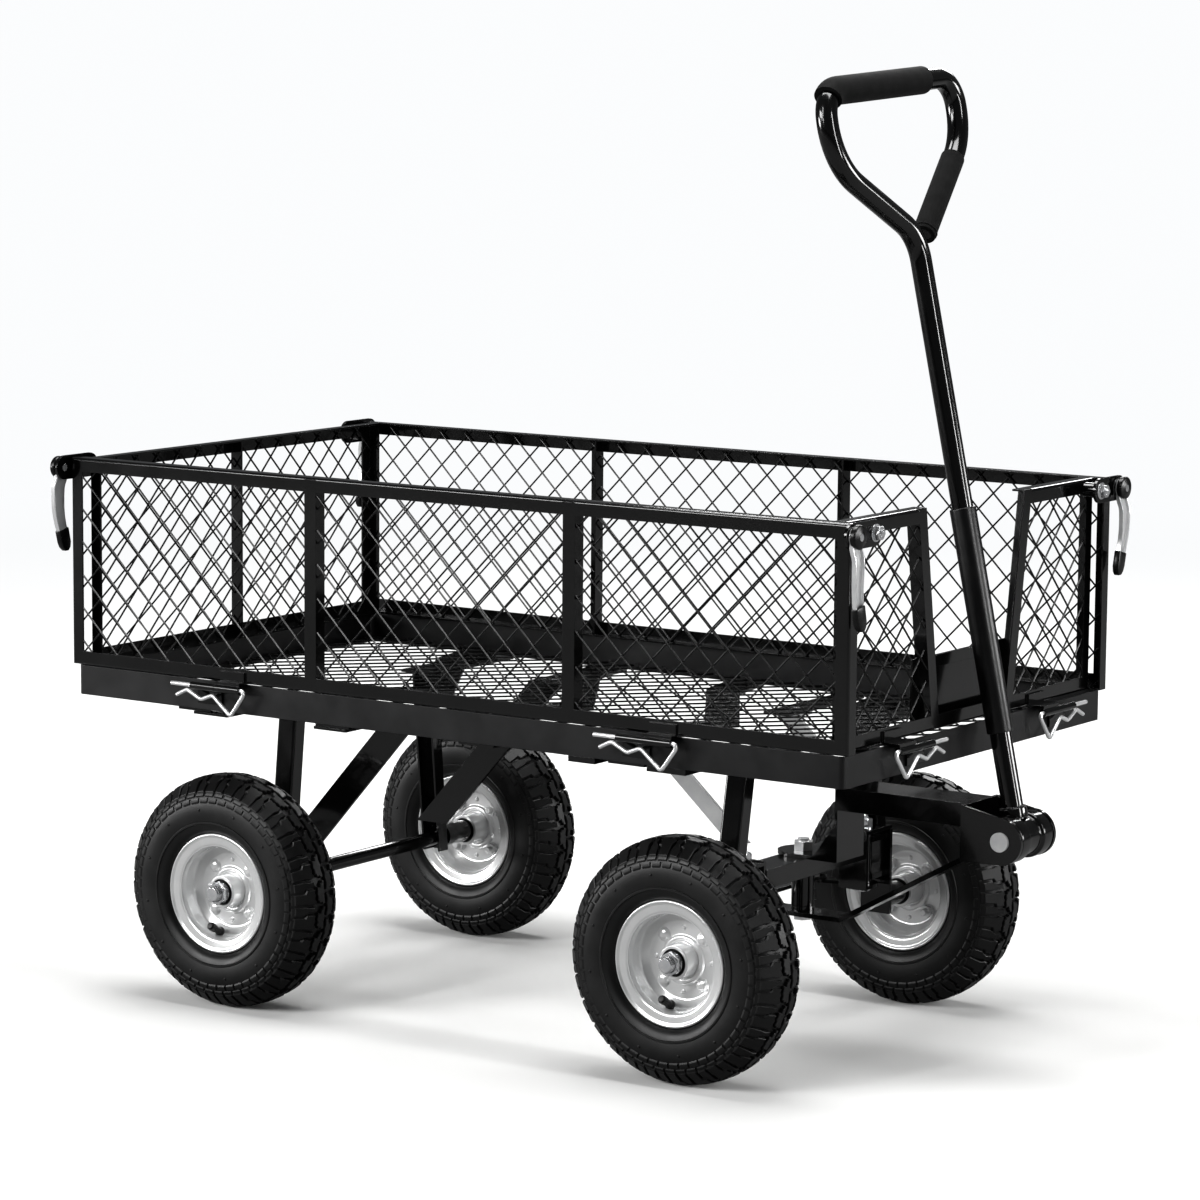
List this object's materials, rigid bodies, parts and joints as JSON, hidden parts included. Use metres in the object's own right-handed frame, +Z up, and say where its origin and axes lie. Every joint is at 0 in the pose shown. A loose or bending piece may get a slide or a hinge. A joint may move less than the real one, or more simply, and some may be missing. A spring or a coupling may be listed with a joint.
{
  "type": "garden cart",
  "caption": "Garden cart with fold-down mesh sides, cam latches, steered front axle with tie rods, tilting pull handle with a grip loop and pneumatic wheels.",
  "frame": {"origin": "on the ground under the middle of the whole cart, at rest with the handle parked and the panels up", "axes": "+X towards the handle end (front), +Y to the left of the cart, +Z up"},
  "size_m": [1.0708, 0.568, 1.0186],
  "materials": {
    "black_paint": "gloss powder coat",
    "grey_paint": "matte powder coat",
    "zinc": "bright zinc plate",
    "rim_zinc": "bright zinc plate",
    "tyre_rubber": "matte",
    "tip_plastic": "satin",
    "sleeve_plastic": "matte",
    "grip_foam": "matte foam"
  },
  "bodies": {
    "chassis": {"tray": "grey_paint", "floor_mesh": "black_paint", "floor_straps": "black_paint", "tray_knuckles": "black_paint", "hinge_clips": "zinc", "chassis_bolts": "zinc", "front_frame": "black_paint", "front_mesh": "black_paint", "front_kick_plate": "black_paint", "front_latch_plates": "black_paint", "rear_legs": "black_paint", "rear_braces": "black_paint", "rear_axle": "black_paint", "front_legs": "black_paint", "front_braces": "zinc", "front_beam": "black_paint", "kingpins": "zinc"},
    "right_side": {"right_frame": "black_paint", "right_mesh": "black_paint"},
    "left_side": {"left_frame": "black_paint", "left_mesh": "black_paint"},
    "rear_end": {"rear_frame": "black_paint", "rear_mesh": "black_paint", "rear_latch_plates": "black_paint", "rear_latch_bolts": "zinc"},
    "fr_latch": {"fr_lever": "zinc", "fr_lever_tip": "tip_plastic"},
    "fl_latch": {"fl_lever": "zinc", "fl_lever_tip": "tip_plastic"},
    "rr_latch": {"rr_lever": "zinc", "rr_lever_tip": "tip_plastic"},
    "rl_latch": {"rl_lever": "zinc", "rl_lever_tip": "tip_plastic"},
    "steered_tongue": {"tongue": "black_paint", "tongue_bolts": "zinc"},
    "right_stub": {"right_knuckle": "black_paint", "right_stub_nut": "zinc"},
    "left_stub": {"left_knuckle": "black_paint", "left_stub_nut": "zinc"},
    "right_rod": {"right_tie_rod": "black_paint"},
    "left_rod": {"left_tie_rod": "black_paint"},
    "handle": {"handle_tube": "black_paint", "handle_foot": "black_paint", "handle_sleeve": "sleeve_plastic", "handle_grip": "grip_foam"},
    "fr_wheel": {"fr_tyre": "tyre_rubber", "fr_rim": "rim_zinc", "fr_hub": "rim_zinc"},
    "fl_wheel": {"fl_tyre": "tyre_rubber", "fl_rim": "rim_zinc", "fl_hub": "rim_zinc"},
    "rr_wheel": {"rr_tyre": "tyre_rubber", "rr_rim": "rim_zinc", "rr_hub": "rim_zinc"},
    "rl_wheel": {"rl_tyre": "tyre_rubber", "rl_rim": "rim_zinc", "rl_hub": "rim_zinc"}
  },
  "joints": [
    {"name": "right_side_fold", "type": "hinge", "parent": "chassis", "child": "right_side", "pos_m": [0, -0.274, 0.355], "axis": [1, 0, 0], "range_deg": [0, 140]},
    {"name": "left_side_fold", "type": "hinge", "parent": "chassis", "child": "left_side", "pos_m": [0, 0.274, 0.355], "axis": [-1, 0, 0], "range_deg": [0, 140]},
    {"name": "rear_end_fold", "type": "hinge", "parent": "chassis", "child": "rear_end", "pos_m": [-0.5236, 0, 0.355], "axis": [0, -1, 0], "range_deg": [0, 140]},
    {"name": "fr_latch_lever", "type": "hinge", "parent": "chassis", "child": "fr_latch", "pos_m": [0.4788, -0.271, 0.576], "axis": [-1, 0, 0], "range_deg": [0, 170]},
    {"name": "fl_latch_lever", "type": "hinge", "parent": "chassis", "child": "fl_latch", "pos_m": [0.4788, 0.271, 0.576], "axis": [1, 0, 0], "range_deg": [0, 170]},
    {"name": "rr_latch_lever", "type": "hinge", "parent": "rear_end", "child": "rr_latch", "pos_m": [-0.527, -0.271, 0.576], "axis": [-1, 0, 0], "range_deg": [0, 170]},
    {"name": "rl_latch_lever", "type": "hinge", "parent": "rear_end", "child": "rl_latch", "pos_m": [-0.527, 0.271, 0.576], "axis": [1, 0, 0], "range_deg": [0, 170]},
    {"name": "steer", "type": "hinge", "parent": "chassis", "child": "steered_tongue", "pos_m": [0.2574, 0, 0.2], "axis": [0, 0, 1], "range_deg": [-15, 15]},
    {"name": "right_kingpin", "type": "hinge", "parent": "chassis", "child": "right_stub", "pos_m": [0.2574, -0.12, 0.1775], "axis": [0, 0, 1], "range_deg": [-15, 15]},
    {"name": "left_kingpin", "type": "hinge", "parent": "chassis", "child": "left_stub", "pos_m": [0.2574, 0.12, 0.1775], "axis": [0, 0, 1], "range_deg": [-15, 15]},
    {"name": "right_rod_pivot", "type": "hinge", "parent": "steered_tongue", "child": "right_rod", "pos_m": [0.1974, -0.012, 0.1478], "axis": [0, 0, 1], "range_deg": [-15, 15]},
    {"name": "left_rod_pivot", "type": "hinge", "parent": "steered_tongue", "child": "left_rod", "pos_m": [0.1974, 0.012, 0.1478], "axis": [0, 0, 1], "range_deg": [-15, 15]},
    {"name": "handle_pivot", "type": "hinge", "parent": "steered_tongue", "child": "handle", "pos_m": [0.5114, 0, 0.247], "axis": [0, 1, 0], "range_deg": [0, 115]},
    {"name": "fr_wheel_spin", "type": "hinge", "parent": "right_stub", "child": "fr_wheel", "pos_m": [0.2574, -0.224, 0.127], "axis": [0, 1, 0], "continuous": true},
    {"name": "fl_wheel_spin", "type": "hinge", "parent": "left_stub", "child": "fl_wheel", "pos_m": [0.2574, 0.224, 0.127], "axis": [0, 1, 0], "continuous": true},
    {"name": "rr_wheel_spin", "type": "hinge", "parent": "chassis", "child": "rr_wheel", "pos_m": [-0.3261, -0.224, 0.127], "axis": [0, 1, 0], "continuous": true},
    {"name": "rl_wheel_spin", "type": "hinge", "parent": "chassis", "child": "rl_wheel", "pos_m": [-0.3261, 0.224, 0.127], "axis": [0, 1, 0], "continuous": true}
  ],
  "couplings": [
    {"joint": "right_kingpin", "follows": "steer", "ratio": 1},
    {"joint": "left_kingpin", "follows": "steer", "ratio": 1},
    {"joint": "right_rod_pivot", "follows": "steer", "ratio": -1},
    {"joint": "left_rod_pivot", "follows": "steer", "ratio": -1}
  ]
}
